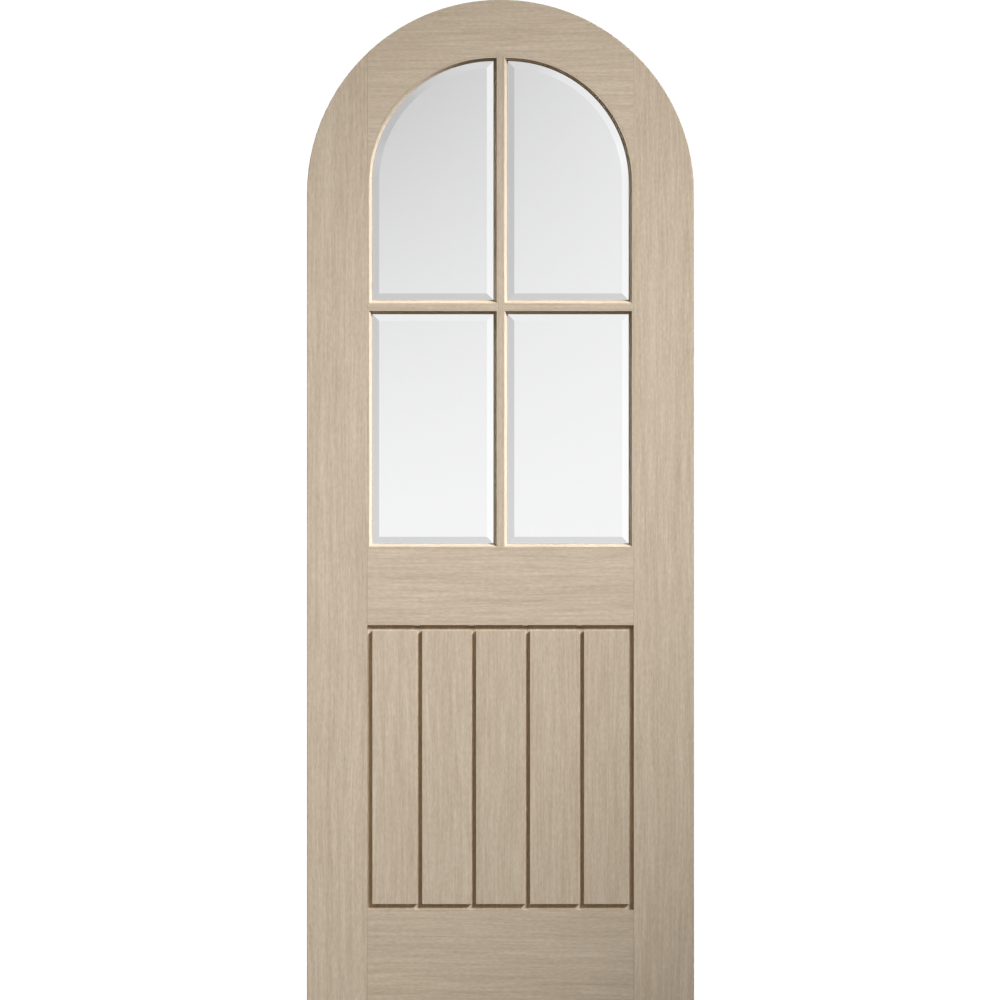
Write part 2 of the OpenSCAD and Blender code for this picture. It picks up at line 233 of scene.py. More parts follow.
def knot_push(tree, place):
    """How far the grain is pushed aside round the pin knots."""
    total = 0.0
    for x, z, reach in KNOTS:
        offset = add(tree, "ShaderNodeVectorMath", {0: place, 1: (-x, 0, -z)}, operation="ADD").outputs[0]
        flat = scaled(tree, offset, tuple(factor / reach for factor in KNOT_STRETCH))
        length = add(tree, "ShaderNodeVectorMath", {0: flat}, operation="LENGTH").outputs["Value"]
        fall = calc(tree, "EXPONENT", calc(tree, "MULTIPLY", calc(tree, "MULTIPLY", length, length), -1.0))
        total = calc(tree, "MULTIPLY_ADD", fall, KNOT_PUSH, total)
    return total


print(len(BUMPS), "figures and", len(KNOTS), "knots")

# %% [markdown]
# The streaks, the broad bands and the fibre add up to one number, and a ramp turns it into the colour of
# the wood. Short flecks and open pores are laid over it. The lime leaves a soft bloom that brightens the
# face a little where one looks along it, which is what sheen is for.

# %% Oak material
OAK_LIGHT = (0.725, 0.607, 0.468)
OAK_MIDDLE = (0.62, 0.507, 0.380)
OAK_DARK = (0.525, 0.420, 0.305)
WARM_PATCH = rgb(1.0, 0.985, 0.955)
FLECK_COLOUR = rgb(0.80, 0.72, 0.62)
PORE_COLOUR = rgb(0.36, 0.27, 0.19)
BROAD_SHARE, STREAK_SHARE, FIBRE_SHARE = 0.24, 0.44, 0.32
FLECK_COVER, PORE_COVER = 0.10, 0.24


def oak_material(name):
    """Pale open-grained oak from board coordinates."""
    material, tree, shader = new_material(name)
    board = add(tree, "ShaderNodeAttribute", attribute_name="board").outputs["Vector"]
    tone = add(tree, "ShaderNodeAttribute", attribute_name="tone").outputs["Fac"]

    # slow sideways bends, and the swirl round each knot
    sway = calc(tree, "MULTIPLY_ADD", figure(tree, board, "sway", 1.5), SWAY_REACH, -SWAY_REACH / 2)
    across = calc(tree, "ADD", sway, knot_push(tree, own_place(tree)))
    push = add(tree, "ShaderNodeCombineXYZ", {"X": across})
    grain = add(tree, "ShaderNodeVectorMath", {0: board, 1: push.outputs[0]}, operation="ADD").outputs[0]

    # from broad bands to pores
    broad = figure(tree, grain, "broad", 2)
    streak = figure(tree, grain, "streak", 3, roughness=0.6)
    fibre = figure(tree, grain, "fibre", 2)
    pore = stretch(tree, figure(tree, grain, "pore", 1), 0.60, 0.74)
    fleck = stretch(tree, figure(tree, grain, "fleck", 1), 0.66, 0.80)
    hue = stretch(tree, figure(tree, board, "hue", 2), 0.35, 0.65, 0.0, 0.5)

    # colour
    wood = calc(tree, "MULTIPLY_ADD", broad, BROAD_SHARE, calc(tree, "MULTIPLY", streak, STREAK_SHARE))
    wood = calc(tree, "MULTIPLY_ADD", fibre, FIBRE_SHARE, wood)
    colour = ramp(tree, wood, (0.34, OAK_DARK), (0.50, OAK_MIDDLE), (0.66, OAK_LIGHT))
    colour = blend_colours(tree, hue, colour, WARM_PATCH, "MULTIPLY")
    colour = blend_colours(tree, calc(tree, "MULTIPLY", fleck, FLECK_COVER), colour, FLECK_COLOUR)
    colour = blend_colours(tree, calc(tree, "MULTIPLY", pore, PORE_COVER), colour, PORE_COLOUR)
    # the tone also darkens the eased arrises, as painted shade
    toned = add(tree, "ShaderNodeVectorMath", {0: colour, "Scale": tone}, operation="SCALE").outputs[0]
    feed(tree, shader.inputs["Base Color"], toned)

    # lacquer
    roughness = calc(tree, "MULTIPLY_ADD", streak, 0.16, 0.44)
    feed(tree, shader.inputs["Roughness"], calc(tree, "MULTIPLY_ADD", pore, 0.15, roughness))
    shader.inputs["Specular IOR Level"].default_value = 0.30
    shader.inputs["Sheen Weight"].default_value = 0.5
    shader.inputs["Sheen Roughness"].default_value = 0.4
    height = calc(tree, "MULTIPLY_ADD", fibre, 0.35, calc(tree, "MULTIPLY", pore, -0.8))
    emboss(tree, shader, height, 0.35, 0.00025)
    return material


oak = oak_material("pale_oak")
print("material", oak.name, "with", len(oak.node_tree.nodes), "nodes")

# %% [markdown]
# ## From a CAD timber to a finished one
#
# A CAD mesh arrives as loose triangles. To soften its edges the triangles are first welded into one skin,
# and flat areas are dissolved back into single faces. Sandpaper takes a hair off every arris of a real
# door, which is why a joint between two flush timbers still shows as a fine line. A Bevel modifier does
# this here. It is limited by edge weight, because only the arrises that lie in the two faces of the leaf
# are sanded: the edges of mortises and dowel holes stay sharp.
#
# The bevel is then applied, since a finished piece is a plain mesh.

# %% Welding and easing
WELD = 0.00002                                 # points nearer than this are one
FLAT = math.radians(0.4)                       # faces that turn less than this are one flat
EASED = 0.0003                                 # width sanded off an arris
ARRIS = math.radians(60)                       # an edge that turns more than this is an arris


def plain_mesh(piece):
    """Replaces an object's mesh by what its modifiers make of it, and removes them."""
    bpy.context.view_layer.update()
    graph = bpy.context.evaluated_depsgraph_get()
    mesh = bpy.data.meshes.new_from_object(piece.evaluated_get(graph), depsgraph=graph)
    mesh.name = piece.name
    piece.modifiers.clear()
    piece.data = mesh
    return piece


def new_object(name, mesh):
    """A mesh as an object in the scene, at the origin."""
    made = bpy.data.objects.new(name, mesh)
    bpy.context.scene.collection.objects.link(made)
    return made


def welded_copy(node, name):
    """A new object with the node's surface as one welded skin with flat faces."""
    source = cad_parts[node].data
    mesh = bpy.data.meshes.new(name)
    mesh.from_pydata([v.co for v in source.vertices], [], [p.vertices for p in source.polygons])
    skin = bmesh.new()
    skin.from_mesh(mesh)
    bmesh.ops.remove_doubles(skin, verts=skin.verts, dist=WELD)
    bmesh.ops.dissolve_limit(skin, angle_limit=FLAT, verts=skin.verts, edges=skin.edges)
    skin.to_mesh(mesh)
    skin.free()
    return new_object(name, mesh)


def ease_edges(piece):
    """Bevels the square arrises that lie in the piece's two outer faces, and counts them."""
    mesh = piece.data
    face_y = max(abs(v.co.y) for v in mesh.vertices)
    skin = bmesh.new()
    skin.from_mesh(mesh)
    weight = skin.edges.layers.float.new("bevel_weight_edge")
    eased = 0
    for edge in skin.edges:
        on_face = all(abs(abs(v.co.y) - face_y) < WELD for v in edge.verts)
        if on_face and edge.calc_face_angle(0.0) > ARRIS:
            edge[weight] = 1.0
            eased += 1
    skin.to_mesh(mesh)
    skin.free()
    bevel = piece.modifiers.new("Eased edges", "BEVEL")
    bevel.limit_method = "WEIGHT"
    bevel.width = EASED
    bevel.segments = 2
    bevel.use_clamp_overlap = False
    plain_mesh(piece)
    return eased


print("arrises are eased by", EASED * 1000, "mm")

# %% [markdown]
# Now each timber gets its two attributes. Its board coordinates are its own place, with the axes put in the
# order across, along and into, and moved to a random spot of the tree, so that no two pieces share their
# figure. Its tone is the same all over, but the eased arrises are darkened: painted shade that keeps them
# from catching the lamp, and that leaves a faint dark line where two flush timbers meet.
#
# Wide flats are marked sharp all round, because smooth shading would otherwise bend the light near an edge.

# %% Board coordinates and binding
random.seed(11)
# painted shade: an eased arris is darker than its timber, so that it catches less light
ARRIS_PAINTED_SHADE = 0.7                               # tone of an eased arris, as a share of its timber's
SLOPES = (0.2, 0.99)                           # how far an eased facet faces the front, least and most
SQUARE_ON = 0.99999                            # a face this square to an axis is a flat
GRAIN_AXES = {"upright": (0, 2, 1), "level": (2, 0, 1)}     # across, along and into the board


def write_board(mesh, axes, offset, tone):
    """Stores where each point lies in its board, and each face's tone, darker on eased arrises as painted
    shade.
    """
    mesh.attributes.new("board", "FLOAT_VECTOR", "POINT")
    mesh.attributes.new("tone", "FLOAT", "FACE")
    places = [vertex.co[axis] + shift for vertex in mesh.vertices for axis, shift in zip(axes, offset)]
    # eased facets get painted shade, a darker tone so that their highlight is dimmed
    eased = [SLOPES[0] < abs(face.normal.y) < SLOPES[1] for face in mesh.polygons]
    mesh.attributes["board"].data.foreach_set("vector", places)
    mesh.attributes["tone"].data.foreach_set("value", [tone * ARRIS_PAINTED_SHADE if e else tone for e in eased])


def board_offset():
    """A random place in the tree for the next board, far from the last one."""
    return [round(random.uniform(2, 60), 2) for _ in range(3)]


def finish_piece(piece, node, material, sharp_degrees=20):
    """Shades, paints and binds a finished piece that stands for a CAD node."""
    mesh = piece.data
    mesh.materials.clear()
    mesh.materials.append(material)
    mesh.shade_smooth()
    mesh.set_sharp_from_angle(angle=math.radians(sharp_degrees))
    for face in mesh.polygons:
        if max(abs(c) for c in face.normal) > SQUARE_ON:
            for corner in face.loop_indices:
                mesh.edges[mesh.loops[corner].edge_index].use_edge_sharp = True
    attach(piece, "root")
    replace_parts(piece, node)
    return piece


def timber(node, grain, tone):
    """One finished timber."""
    piece = welded_copy(node, f"{node}_eased")
    eased = ease_edges(piece)
    write_board(piece.data, GRAIN_AXES[grain], board_offset(), tone)
    print(f"{node}: {eased} arrises eased, {len(piece.data.polygons)} faces")
    return finish_piece(piece, node, oak)

# %% [markdown]
# ## Stiles, rails and bars
#
# A joiner runs the grain along every piece: upright in the stiles and the vertical bar, level in the rails
# and the horizontal bar. The tones are what separate neighbours where two boards meet flush.

# %% The frame and the glazing bars
FRAME_TONES = {
    "left_stile": ("upright", 1.00),
    "right_stile": ("upright", 1.00),
    "head_rail": ("level", 1.015),
    "lock_rail": ("level", 0.995),
    "bottom_rail": ("level", 0.955),
    "vertical_glazing_bar": ("upright", 1.00),
    "horizontal_glazing_bar": ("level", 1.00),
}
for node, (grain, tone) in FRAME_TONES.items():
    timber(node, grain, tone)

# %% [markdown]
# ## The boarded panel
#
# Five tongued boards fill the lower part. They come from different planks, so each gets its own place in
# the grain and a slightly different tone, by a loop over however many boards the frame holds.

# %% The boards
boards = sorted(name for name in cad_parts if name.startswith("board_"))
BOARD_TONES = (0.99, 0.975, 0.965, 0.97, 0.965)
for index, node in enumerate(boards):
    timber(node, "upright", BOARD_TONES[index % len(BOARD_TONES)])

# %% [markdown]
# ## Glazing beads, swept by Geometry Nodes
#
# Thirty-two little mouldings hold the glass. They are all the same section, cut to length, mitred at the
# corners, and four on each face are bent round an arch, so one Geometry Nodes tree with a few sizes makes
# every one of them. Drawing them by hand would take thirty-two chances to get a mitre wrong.
#
# The tree sweeps a section along a path. Curve to Mesh alone can't mitre, so the tree then works out every
# point's place again from two facts that it kept: how far along the path the point is, and where it sits in
# the section. The path is a straight run, an arc, and a short tail, any of which may be nothing. The wider
# a point stands from the wood, the more its ends are drawn in, which is all that a mitre is.
#
# The same two facts are its board coordinates, so the grain follows the bend.

# %% Bead tree: inputs
def group_with_inputs(name, sockets):
    """A Geometry Nodes group with named inputs, whose kinds follow from their defaults."""
    tree = bpy.data.node_groups.new(name, "GeometryNodeTree")
    for label, default in sockets.items():
        kind = "NodeSocketMaterial" if label == "Material" else "NodeSocketFloat"
        kind = "NodeSocketInt" if isinstance(default, int) else kind
        kind = "NodeSocketVector" if isinstance(default, tuple) else kind
        socket = tree.interface.new_socket(label, in_out="INPUT", socket_type=kind)
        if default is not None:
            socket.default_value = default
    tree.interface.new_socket("Geometry", in_out="OUTPUT", socket_type="NodeSocketGeometry")
    return tree, tree.nodes.new("NodeGroupInput").outputs, tree.nodes.new("NodeGroupOutput").inputs[0]


def end_tree(tree, geometry, material, result):
    """The last steps of every tree: real geometry with its material."""
    real = add(tree, "GeometryNodeRealizeInstances", {0: geometry})
    painted = add(tree, "GeometryNodeSetMaterial", {"Geometry": real.outputs[0], "Material": material})
    feed(tree, result, painted.outputs[0])
    print(tree.name, "has", len(tree.nodes), "nodes")


def run_group(tree, name, **values):
    """Runs the tree on an empty object with these inputs and returns the result as a plain mesh object."""
    piece = new_object(name, bpy.data.meshes.new(name))
    modifier = piece.modifiers.new(tree.name, "NODES")
    modifier.node_group = tree
    for item in tree.interface.items_tree:
        label = item.name.replace(" ", "_").lower()
        if item.in_out == "INPUT" and label in values:
            modifier[item.identifier] = values.pop(label)
    assert not values, f"{tree.name} has no inputs {list(values)}"
    return plain_mesh(piece)


BEAD_FLAT = 0.0035                             # left flat before the moulding
BEAD_LEDGE = 0.0015                            # left between the moulding and the sight line
BEAD_FALL = 0.009                              # from the face down to the moulding's foot
BEAD_BULGE = math.radians(16)                  # between the moulding and a straight chamfer
BEAD_INPUTS = {
    "Straight": 0.3, "Radius": 0.25, "Turn": 0.0, "Tail": 0.0,
    "Start Mitre": 0.01, "End Mitre": 0.01, "Path Steps": 2,
    "Width": 0.01, "Depth": 0.0135, "Flat": BEAD_FLAT, "Ledge": BEAD_LEDGE,
    "Fall": BEAD_FALL, "Bulge": BEAD_BULGE,
    "Board Offset": (0.0, 0.0, 0.0), "Tone": 1.0, "Material": None,
}
bead_tree, bead_in, bead_result = group_with_inputs("mitred_bead", BEAD_INPUTS)
bead_add = partial(add, bead_tree)
bead_calc = partial(calc, bead_tree)
print("bead tree has", len(BEAD_INPUTS), "inputs")

# %% [markdown]
# The section is drawn flat: across is the width of the bead from the wood to the sight line, up is its
# depth from the glass to the face of the door. The moulding is one arc, given by its two ends and the point
# half way: the bulge is the angle between the arc and a straight chamfer, so the tangent of half of it gives
# the rise. A narrow ledge is left between the foot of the moulding and the sight line.

# %% Bead tree: the section
ARC_STEPS = 14
JOINED = 0.00001                               # ends of the outline nearer than this are joined
fall_z = bead_calc("SUBTRACT", bead_in["Depth"], bead_in["Fall"])
foot_x = bead_calc("SUBTRACT", bead_in["Width"], bead_in["Ledge"])
run = bead_calc("SUBTRACT", foot_x, bead_in["Flat"])
rise = bead_calc("MULTIPLY", bead_calc("TANGENT", bead_calc("MULTIPLY", bead_in["Bulge"], 0.5)), 0.5)
chamfer_x = bead_calc("MULTIPLY_ADD", run, 0.5, bead_in["Flat"])
chamfer_y = bead_calc("MULTIPLY_ADD", bead_in["Fall"], 0.5, fall_z)
middle_x = bead_calc("ADD", chamfer_x, bead_calc("MULTIPLY", bead_in["Fall"], rise))
middle_y = bead_calc("ADD", chamfer_y, bead_calc("MULTIPLY", run, rise))


def point(x, y):
    """A point of the section."""
    return bead_add("ShaderNodeCombineXYZ", {"X": x, "Y": y}).outputs[0]


foot = point(foot_x, fall_z)
shoulder = point(bead_in["Flat"], bead_in["Depth"])
arc_points = {"Resolution": ARC_STEPS, "Start": foot, "Middle": point(middle_x, middle_y), "End": shoulder}
moulding = bead_add("GeometryNodeCurveArc", arc_points, mode="POINTS")
corners = [
    shoulder,
    point(0.0, bead_in["Depth"]),
    point(0.0, 0.0),
    point(bead_in["Width"], 0.0),
    point(bead_in["Width"], fall_z),
    foot,
]
outline = bead_add("GeometryNodeJoinGeometry")
bead_tree.links.new(moulding.outputs[0], outline.inputs[0])
for start, end in zip(corners, corners[1:]):
    edge_line = bead_add("GeometryNodeCurvePrimitiveLine", {"Start": start, "End": end})
    bead_tree.links.new(edge_line.outputs[0], outline.inputs[0])
wire = bead_add("GeometryNodeCurveToMesh", {0: outline.outputs[0]})
ring = bead_add("GeometryNodeMergeByDistance", {"Geometry": wire.outputs[0], "Distance": JOINED})
section = bead_add("GeometryNodeMeshToCurve", {0: ring.outputs[0]})
print("the section has", len(corners) - 1, "straight edges and one arc")

# %% Bead tree: the sweep
kept_section = bead_add("GeometryNodeCaptureAttribute", {0: section.outputs[0]})
kept_section.capture_items.new("VECTOR", "Section Place")
feed(bead_tree, kept_section.inputs[1], bead_add("GeometryNodeInputPosition").outputs[0])

axis_line = bead_add("GeometryNodeCurvePrimitiveLine", {"End": (1.0, 0.0, 0.0)})
stepped = bead_add("GeometryNodeResampleCurve", {
    "Curve": axis_line.outputs[0], "Count": bead_in["Path Steps"]})
kept_path = bead_add("GeometryNodeCaptureAttribute", {0: stepped.outputs[0]})
kept_path.capture_items.new("FLOAT", "Share")
feed(bead_tree, kept_path.inputs[1], bead_add("GeometryNodeSplineParameter").outputs["Factor"])
swept = bead_add("GeometryNodeCurveToMesh", {
    "Curve": kept_path.outputs[0], "Profile Curve": kept_section.outputs[0], "Fill Caps": True})
print("the section is swept along a line of length 1")

# %% [markdown]
# Now the points are put where they belong. `along` is the distance from the start with the mitres taken
# off, and the path's own formula turns it into a place and a direction.

# %% Bead tree: mitres and bend
section_place = bead_add("ShaderNodeSeparateXYZ", {0: kept_section.outputs[1]})
wide, deep = section_place.outputs["X"], section_place.outputs["Y"]
share = kept_path.outputs[1]
out_share = bead_calc("DIVIDE", wide, bead_in["Width"])
arc_length = bead_calc("MULTIPLY", bead_in["Radius"], bead_in["Turn"])
whole = bead_calc("ADD", bead_calc("ADD", bead_in["Straight"], arc_length), bead_in["Tail"])
start_at = bead_calc("MULTIPLY", out_share, bead_in["Start Mitre"])
end_at = bead_calc("SUBTRACT", whole, bead_calc("MULTIPLY", out_share, bead_in["End Mitre"]))
along = bead_calc("MULTIPLY_ADD", bead_calc("SUBTRACT", end_at, start_at), share, start_at)

straight = bead_calc("MINIMUM", along, bead_in["Straight"])
past = bead_calc("SUBTRACT", along, straight)
angle = bead_calc("MINIMUM", bead_calc("DIVIDE", past, bead_in["Radius"]), bead_in["Turn"])
tail = bead_calc("SUBTRACT", past, bead_calc("MULTIPLY", angle, bead_in["Radius"]))
sine, cosine = bead_calc("SINE", angle), bead_calc("COSINE", angle)
inner_radius = bead_calc("SUBTRACT", bead_in["Radius"], wide)
bent_x = bead_calc("MULTIPLY_ADD", sine, inner_radius, bead_calc("MULTIPLY_ADD", tail, cosine, straight))
arc_y = bead_calc("SUBTRACT", bead_in["Radius"], bead_calc("MULTIPLY", cosine, inner_radius))
bent_y = bead_calc("MULTIPLY_ADD", tail, sine, arc_y)
bent_place = bead_add("ShaderNodeCombineXYZ", {"X": bent_x, "Y": bent_y, "Z": deep}).outputs[0]
bent = bead_add("GeometryNodeSetPosition", {"Geometry": swept.outputs[0], "Position": bent_place})

# %% Bead tree: attributes and material
own_board = bead_add("ShaderNodeCombineXYZ", {"X": wide, "Y": along, "Z": deep}).outputs[0]
moved_board = bead_add("ShaderNodeVectorMath", {0: own_board, 1: bead_in["Board Offset"]}, operation="ADD")
grained = bead_add("GeometryNodeStoreNamedAttribute", data_type="FLOAT_VECTOR", domain="POINT")
toned = bead_add("GeometryNodeStoreNamedAttribute", data_type="FLOAT", domain="POINT")
for store, name, value, before in (
        (grained, "board", moved_board.outputs[0], bent),
        (toned, "tone", bead_in["Tone"], grained)):
    feed(bead_tree, store.inputs["Geometry"], before.outputs[0])
    feed(bead_tree, store.inputs["Name"], name)
    feed(bead_tree, next(s for s in store.inputs if s.name == "Value" and s.enabled), value)
end_tree(bead_tree, toned.outputs[0], bead_in["Material"], bead_result)

# %% [markdown]
# ## Thirty-two beads
#
# Each bead's box in the frame says how long it is and where it lies, so only the section's own sizes are
# given here. A bead is made lying along X with its wood side at Y = 0, then turned into place by a matrix
# whose columns are the three directions that its length, width and depth take on the door.

# %% Beads in place
ARCH_STEPS = 72


def bead_directions(face, hand, side):
    """Directions of a bead's length, width and depth."""
    out = -1 if hand == "left" else 1
    length = Vector((out, 0, 0)) if side in ("bottom", "top") else Vector((0, 0, 1))
    width = {"bottom": Vector((0, 0, 1)), "top": Vector((0, 0, -1)),
             "inner": Vector((out, 0, 0))}.get(side, Vector((-out, 0, 0)))
    depth = Vector((0, -1 if face == "front" else 1, 0))
    return length, width, depth


def corner_towards(box, *directions):
    """The corner of a box from which all the directions lead inwards."""
    low, high = box
    backwards = sum((-d for d in directions), Vector())
    return Vector(high[i] if backwards[i] > 0 else low[i] for i in range(3))


def bead(face, level, hand, side):
    """One finished bead."""
    node = f"{face}_bead_{level}_{hand}_{side}"
    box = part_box(node)
    span = box[1] - box[0]
    bottom_low, bottom_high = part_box(f"{face}_bead_{level}_{hand}_bottom")
    width = (bottom_high - bottom_low).z
    if side == "arch":
        path = dict(straight=0.0, radius=span.z, turn=math.pi / 2, tail=span.x - span.z,
                    start_mitre=0.0, end_mitre=width, path_steps=ARCH_STEPS)
    else:
        butts_arch = level == "upper" and side == "outer"
        path = dict(straight=max(span.x, span.z), radius=1.0, turn=0.0, tail=0.0,
                    start_mitre=width, end_mitre=0.0 if butts_arch else width, path_steps=2)
    piece = run_group(bead_tree, f"{node}_moulded", board_offset=board_offset(),
                      tone=random.uniform(0.97, 1.03), material=oak, width=width, depth=span.y,
                      flat=BEAD_FLAT, ledge=BEAD_LEDGE, fall=BEAD_FALL, bulge=BEAD_BULGE, **path)
    directions = bead_directions(face, hand, side)
    turn = Matrix(directions).transposed().to_4x4()
    piece.data.transform(Matrix.Translation(corner_towards(box, *directions)) @ turn)
    skin = bmesh.new()
    skin.from_mesh(piece.data)
    bmesh.ops.recalc_face_normals(skin, faces=skin.faces)
    skin.to_mesh(piece.data)
    skin.free()
    return finish_piece(piece, node, oak)


beads = [bead(face, level, hand, side)
         for face in FACES for level in LEVELS for hand in HANDS for side in sides(level)]
worst = 0.0
for piece in beads:
    made = [Vector(c) for c in piece.bound_box]
    for corner, wanted in zip((made[0], made[6]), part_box(piece["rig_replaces"][0])):
        worst = max(worst, (corner - wanted).length)
print(len(beads), "beads, at most", round(worst * 1000, 3), "mm from their CAD boxes")

# %% [markdown]
# ## Panel pins
#
# The back beads are pinned, so that the glass can be changed. The frame already holds plain pins, so their
# places are read from it: each loose shell is one pin, its middle is where it is and its longest direction
# is the way it was driven. A pin is drawn once, with its shank and its flat head, and Geometry Nodes sets a
# copy on every point, turned along the point's own direction.

# %% Places of the pins
def shells(mesh):
    """The places of the vertices of each loose shell of a mesh, in the same order every time."""
    skin = bmesh.new()
    skin.from_mesh(mesh)
    bmesh.ops.remove_doubles(skin, verts=skin.verts, dist=WELD)
    found = set()
    for first in skin.verts:
        if first in found:
            continue
        found.add(first)
        reached = [first]
        shell = []
        while reached:
            vertex = reached.pop()
            shell.append(vertex.co.copy())
            neighbours = [edge.other_vert(vertex) for edge in vertex.link_edges]
            near = [other for other in neighbours if other not in found]
            found.update(near)
            reached += near
        yield shell
    skin.free()


def mean(points):
    """The middle of some points."""
    return sum(points, Vector()) / len(points)


def pin_line(shell):
    """The two ends of a pin's axis: the head's end is the one nearer to the middle of its light."""
    pairs = ((p, q) for p in shell[::7] for q in shell)
    first, last = max(pairs, key=lambda pair: (pair[0] - pair[1]).length)
    reach = (first - last).length * 0.4
    ends = [mean([p for p in shell if (p - end).length < reach]) for end in (first, last)]
    lights = [mean(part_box(f"glass_{light}")) for light in LIGHTS]
    home = min(lights, key=lambda light: (light - mean(shell)).length)
    return sorted(ends, key=lambda end: (end - home).xz.length)


pin_lines = [pin_line(shell) for shell in shells(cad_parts["bead_pins"].data)]
pin_length = max((head - tip).length for head, tip in pin_lines)
print(len(pin_lines), "pins,", round(pin_length * 1000, 2), "mm long")

# %% Pin tree
HEAD_THICKNESS = 0.0006
PIN_INPUTS = {
    "Length": 0.013, "Shank Diameter": 0.0014, "Head Diameter": 0.0021, "Head Proud": 0.00012,
    "Head Thickness": HEAD_THICKNESS, "Material": None,
}
PIN_SIDES = 20
pin_tree, pin_in, pin_result = group_with_inputs("pins_on_points", PIN_INPUTS)
pin_tree.interface.new_socket("Points", in_out="INPUT", socket_type="NodeSocketObject")
pin_add = partial(add, pin_tree)
pin_calc = partial(calc, pin_tree)


def lathe_part(diameter, depth, middle_z):
    """A short cylinder of the pin, standing on Z."""
    radius = pin_calc("MULTIPLY", diameter, 0.5)
    part = pin_add("GeometryNodeMeshCylinder", {"Vertices": PIN_SIDES, "Radius": radius, "Depth": depth})
    lift = pin_add("ShaderNodeCombineXYZ", {"Z": middle_z})
    return pin_add("GeometryNodeTransform",
                   {"Geometry": part.outputs["Mesh"], "Translation": lift.outputs[0]})


under_head = pin_calc("SUBTRACT", pin_in["Head Proud"], pin_in["Head Thickness"])
shank_middle = pin_calc("MULTIPLY_ADD", pin_in["Length"], -0.5, under_head)
head_middle = pin_calc("MULTIPLY_ADD", pin_in["Head Thickness"], -0.5, pin_in["Head Proud"])
shank = lathe_part(pin_in["Shank Diameter"], pin_in["Length"], shank_middle)
flat_head = lathe_part(pin_in["Head Diameter"], pin_in["Head Thickness"], head_middle)
one_pin = pin_add("GeometryNodeJoinGeometry")
for part in (shank, flat_head):
    pin_tree.links.new(part.outputs[0], one_pin.inputs[0])
driven = pin_add("GeometryNodeObjectInfo", {"Object": pin_in["Points"]})
driven_way = pin_add("GeometryNodeInputNamedAttribute", {"Name": "outwards"}, data_type="FLOAT_VECTOR")
aligned = pin_add("FunctionNodeAlignRotationToVector", {"Vector": driven_way.outputs[0]}, axis="Z")
set_pins = pin_add("GeometryNodeInstanceOnPoints", {
    "Points": driven.outputs["Geometry"], "Instance": one_pin.outputs[0], "Rotation": aligned.outputs[0]})
end_tree(pin_tree, set_pins.outputs[0], pin_in["Material"], pin_result)

# %% [markdown]
# The steel of a pin is drawn wire: bright, with fine dull specks that also roughen it a little. Its colour
# and metalness are the same all over, so they are set on the shader itself.

# %% Pins in place
def steel_material(name):
    """Bright drawn wire."""
    material, tree, shader = new_material(name)
    dull = noise(tree, own_place(tree), scale=1800, detail=3)
    shader.inputs["Base Color"].default_value = rgb(0.62, 0.61, 0.59)
    shader.inputs["Metallic"].default_value = 1.0
    feed(tree, shader.inputs["Roughness"], stretch(tree, dull, 0.3, 0.7, 0.25, 0.5))
    emboss(tree, shader, dull, 0.2, 0.00005)
    return material


spots = bpy.data.meshes.new("pin_places")
spots.from_pydata([head for head, tip in pin_lines], [], [])
outwards = spots.attributes.new("outwards", "FLOAT_VECTOR", "POINT")
for index, (head, tip) in enumerate(pin_lines):
    outwards.data[index].vector = (head - tip).normalized()
spots_object = new_object("pin_places", spots)
steel = steel_material("drawn_steel")
pins = run_group(pin_tree, "bead_pins_headed", points=spots_object,
                 length=pin_length - HEAD_THICKNESS, material=steel)
bpy.data.objects.remove(spots_object)
finish_piece(pins, "bead_pins", steel)
print("pins:", len(pins.data.polygons), "faces")

# %% [markdown]
# ## Bevelled glass
#
# Each pane is 6 mm clear float with a wide polished bevel all round. The CAD pane is already the right
# shape, and is only welded and shaded smooth, so that the bevel round the arch is one polished cone and the
# line where it meets the flat stays crisp. The sharp angle is small here, because a glass bevel is shallow.
#
# The material is nearly clear, with the trace of grey that 6 mm of float has. A bevel bends what is seen
# through it by some four degrees, so it shows lighter or darker than the pane. A real pane is never quite
# flat, and a very slow, weak bump gives it that faint wave.

# %% The panes
def glass_material(name):
    """Thick clear float glass with a faint wave."""
    material, tree, shader = new_material(name)
    shader.inputs["Base Color"].default_value = rgb(0.80, 0.805, 0.805)
    shader.inputs["Roughness"].default_value = 0.0
    shader.inputs["IOR"].default_value = 1.52
    shader.inputs["Transmission Weight"].default_value = 1.0
    emboss(tree, shader, noise(tree, own_place(tree), scale=5.0), 0.02, 0.0005)
    return material


glass = glass_material("bevelled_float_glass")
for light in LIGHTS:
    pane = welded_copy(f"glass_{light}", f"glass_{light}_polished")
    finish_piece(pane, f"glass_{light}", glass, sharp_degrees=5)
    print(pane.name, len(pane.data.polygons), "faces")

# %% [markdown]
# ## What is hidden
#
# The bedding round the panes, the blocks under them and the beech dowels are shown as CAD made them. They
# only need a finish that is true to them, on their own material slots: a soft grey-brown glazing compound,
# a denser block, and fluted pale beech with its short flecks.

# %% Bedding, blocks and dowels
def compound(name, colour, scale, roughness):
    """A matt, slightly grainy filler or rubber."""
    material, tree, shader = new_material(name)
    mottle = noise(tree, own_place(tree), scale=scale, detail=4)
    darker = tuple(c * 0.8 for c in colour)
    feed(tree, shader.inputs["Base Color"], ramp(tree, mottle, (0.35, darker), (0.65, colour)))
    feed(tree, shader.inputs["Roughness"], stretch(tree, mottle, 0.3, 0.7, roughness - 0.1, roughness + 0.1))
    emboss(tree, shader, mottle, 0.3, 0.0002)
    return material


